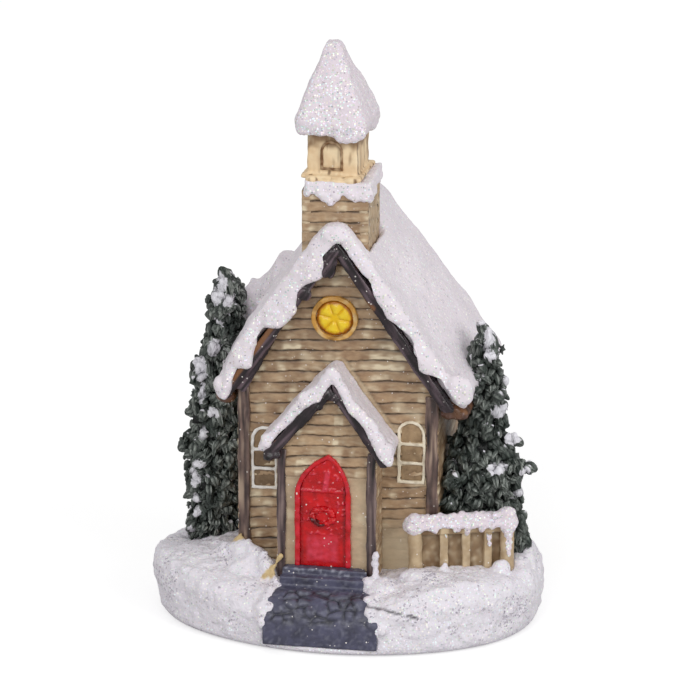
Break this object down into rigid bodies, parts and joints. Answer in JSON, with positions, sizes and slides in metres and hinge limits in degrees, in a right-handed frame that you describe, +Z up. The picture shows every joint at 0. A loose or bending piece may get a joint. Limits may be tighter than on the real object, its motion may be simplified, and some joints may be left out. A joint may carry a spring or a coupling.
{
  "type": "christmas village house",
  "caption": "Small snow-covered village church figurine with a red door, trees and a fence on an oval base, lit from inside by a battery lamp module.",
  "frame": {"origin": "centre of the base's underside, on the surface that it stands on", "axes": "+X to the right of the door, +Y from the door to the back, +Z up to the spire"},
  "size_m": [0.073, 0.0489, 0.1105],
  "materials": {
    "glitter_snow": "rough paste with fine iridescent glitter",
    "painted_clapboard": "hand-painted tan wash, satin",
    "painted_timber": "hand-painted dark brown, satin",
    "cream_paint": "hand-painted cream wash, satin",
    "white_paint": "hand-painted white, satin",
    "window_paint": "hand-painted brown, satin",
    "red_paint": "hand-painted red, gloss",
    "slate_paint": "hand-painted slate grey, semi-gloss",
    "conifer_paint": "hand-painted dark green, semi-gloss",
    "yellow_lens": "translucent moulded",
    "module_plastic": "moulded",
    "circuit_laminate": "solder-masked",
    "lamp_plastic": "clear moulded",
    "cell_steel": "plated",
    "contact_brass": "stamped"
  },
  "bodies": {
    "house": {"snow_base": "glitter_snow", "roof_snow": "glitter_snow", "porch_snow": "glitter_snow", "tower_ledge_snow": "glitter_snow", "spire_snow_cap": "glitter_snow", "fence_snow": "glitter_snow", "house_walls": "painted_clapboard", "porch_body": "painted_clapboard", "tower_shaft": "painted_clapboard", "fence_posts": "painted_clapboard", "fence_rail": "painted_clapboard", "fence_pickets": "painted_clapboard", "fence_panel": "painted_clapboard", "corner_post_front_left": "painted_timber", "corner_post_front_right": "painted_timber", "corner_post_back_left": "painted_timber", "corner_post_back_right": "painted_timber", "roof_deck": "painted_timber", "bargeboard_front_left": "painted_timber", "bargeboard_front_right": "painted_timber", "bargeboard_back_left": "painted_timber", "bargeboard_back_right": "painted_timber", "porch_post_left": "painted_timber", "porch_post_right": "painted_timber", "porch_roof_deck": "painted_timber", "porch_bargeboard_left": "painted_timber", "porch_bargeboard_right": "painted_timber", "rose_window_ring": "painted_timber", "belfry": "cream_paint", "belfry_window_frame": "cream_paint", "window_frame_left": "white_paint", "window_frame_right": "white_paint", "window_panes_left": "window_paint", "window_panes_right": "window_paint", "door_frame": "red_paint", "door_leaf": "red_paint", "stone_steps": "slate_paint", "tree_left": "conifer_paint", "tree_right": "conifer_paint", "bush_right": "conifer_paint", "door_wreath": "conifer_paint", "rose_window_lens": "yellow_lens", "module_housing": "module_plastic", "switch_body": "module_plastic", "circuit_board": "circuit_laminate", "led": "lamp_plastic", "coin_cell": "cell_steel", "contact_spring": "contact_brass", "contact_clip": "contact_brass"},
    "cover": {"battery_cover": "module_plastic"},
    "slider": {"switch_slider": "module_plastic"}
  },
  "joints": [
    {"name": "cover_twist", "type": "hinge", "parent": "house", "child": "cover", "pos_m": [0, -0.0021, 0.0016], "axis": [0, 0, -1], "range_deg": [0, 60]},
    {"name": "switch_slide", "type": "slide", "parent": "house", "child": "slider", "axis": [1, 0, 0], "range_m": [0, 0.002]}
  ]
}
